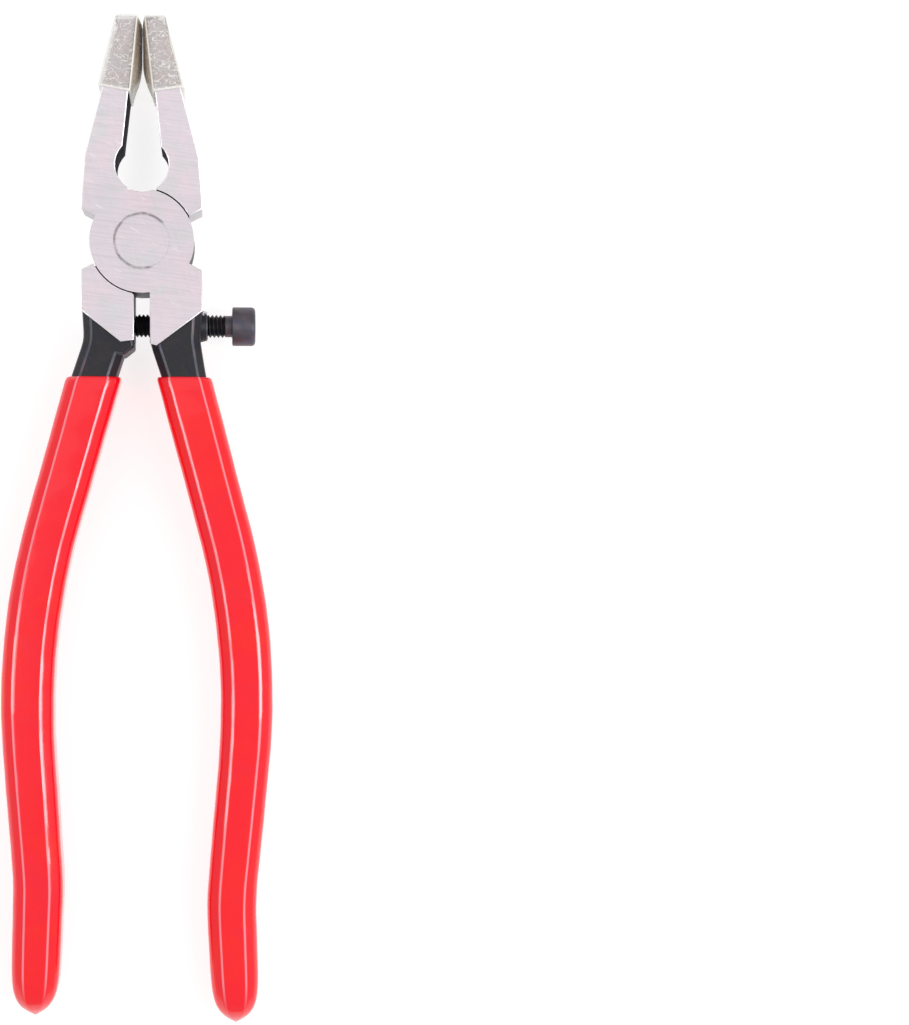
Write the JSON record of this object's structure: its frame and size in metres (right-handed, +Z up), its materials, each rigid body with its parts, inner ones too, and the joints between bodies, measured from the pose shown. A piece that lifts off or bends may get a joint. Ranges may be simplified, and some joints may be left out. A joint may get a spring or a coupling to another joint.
{
  "type": "glass running pliers",
  "caption": "Hand pliers with flat flared jaws in soft caps, a lap joint on a flush rivet, a stop screw between the handles and dipped grips, for snapping scored glass.",
  "frame": {"origin": "on the pivot axis, half way through the head", "axes": "+Y to the jaw tips, +X to the side with the stop screw's head, +Z up along the pivot axis, square to the tool's flat faces"},
  "size_m": [0.0551, 0.2049, 0.0246],
  "materials": {
    "tool_steel": "ground bright on the flats, black as forged elsewhere",
    "rivet_steel": "ground flush with the head",
    "black_screw": "black oxide",
    "red_grip": "glossy dipped vinyl",
    "clear_cap": "translucent soft vinyl"
  },
  "bodies": {
    "lever_a_body": {"lever_a": "tool_steel", "pivot_rivet": "rivet_steel", "grip_a": "red_grip", "jaw_cap_a": "clear_cap"},
    "lever_b_body": {"lever_b": "tool_steel", "grip_b": "red_grip", "jaw_cap_b": "clear_cap"},
    "screw_body": {"stop_screw": "black_screw"}
  },
  "joints": [
    {"name": "main_pivot", "type": "hinge", "parent": "lever_a_body", "child": "lever_b_body", "pos_m": [0, 0, 0], "axis": [0, 0, -1], "range_deg": [0, 40]},
    {"name": "screw_travel", "type": "slide", "parent": "lever_a_body", "child": "screw_body", "axis": [1, 0, 0], "range_m": [0, 0.009]}
  ]
}
